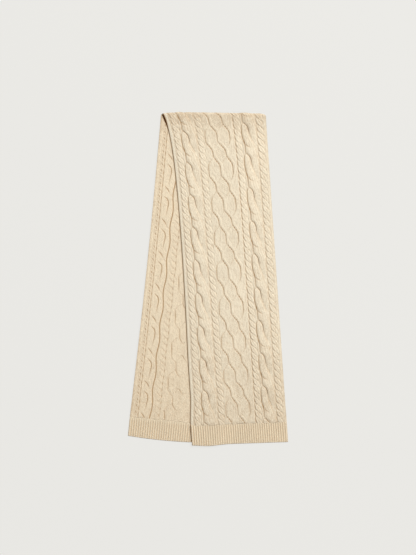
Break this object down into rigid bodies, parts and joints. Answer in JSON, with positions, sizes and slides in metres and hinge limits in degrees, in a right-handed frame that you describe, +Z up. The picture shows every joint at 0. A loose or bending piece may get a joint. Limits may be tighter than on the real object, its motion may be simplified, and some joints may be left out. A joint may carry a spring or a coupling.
{
  "type": "knit scarf",
  "caption": "Long cable-knit scarf in one cream colour, folded in half and laid flat, with twisted cables, a honeycomb lattice and ribbed ends.",
  "frame": {"origin": "centre of the box round the folded scarf, on the surface that it lies on", "axes": "+X to the scarf's right, +Y along the cloth towards the fold, +Z up from the surface"},
  "size_m": [0.4455, 0.9279, 0.0133],
  "materials": {
    "cable_knit": "matt, slightly fuzzy cotton yarn in cables, ropes and honeycomb",
    "rib_knit": "matt, slightly fuzzy cotton yarn in one-by-one rib"
  },
  "bodies": {
    "root": {"top_fold": "cable_knit", "front_panel": "cable_knit", "back_panel": "cable_knit", "front_rib_hem": "rib_knit", "back_rib_hem": "rib_knit"}
  },
  "joints": []
}
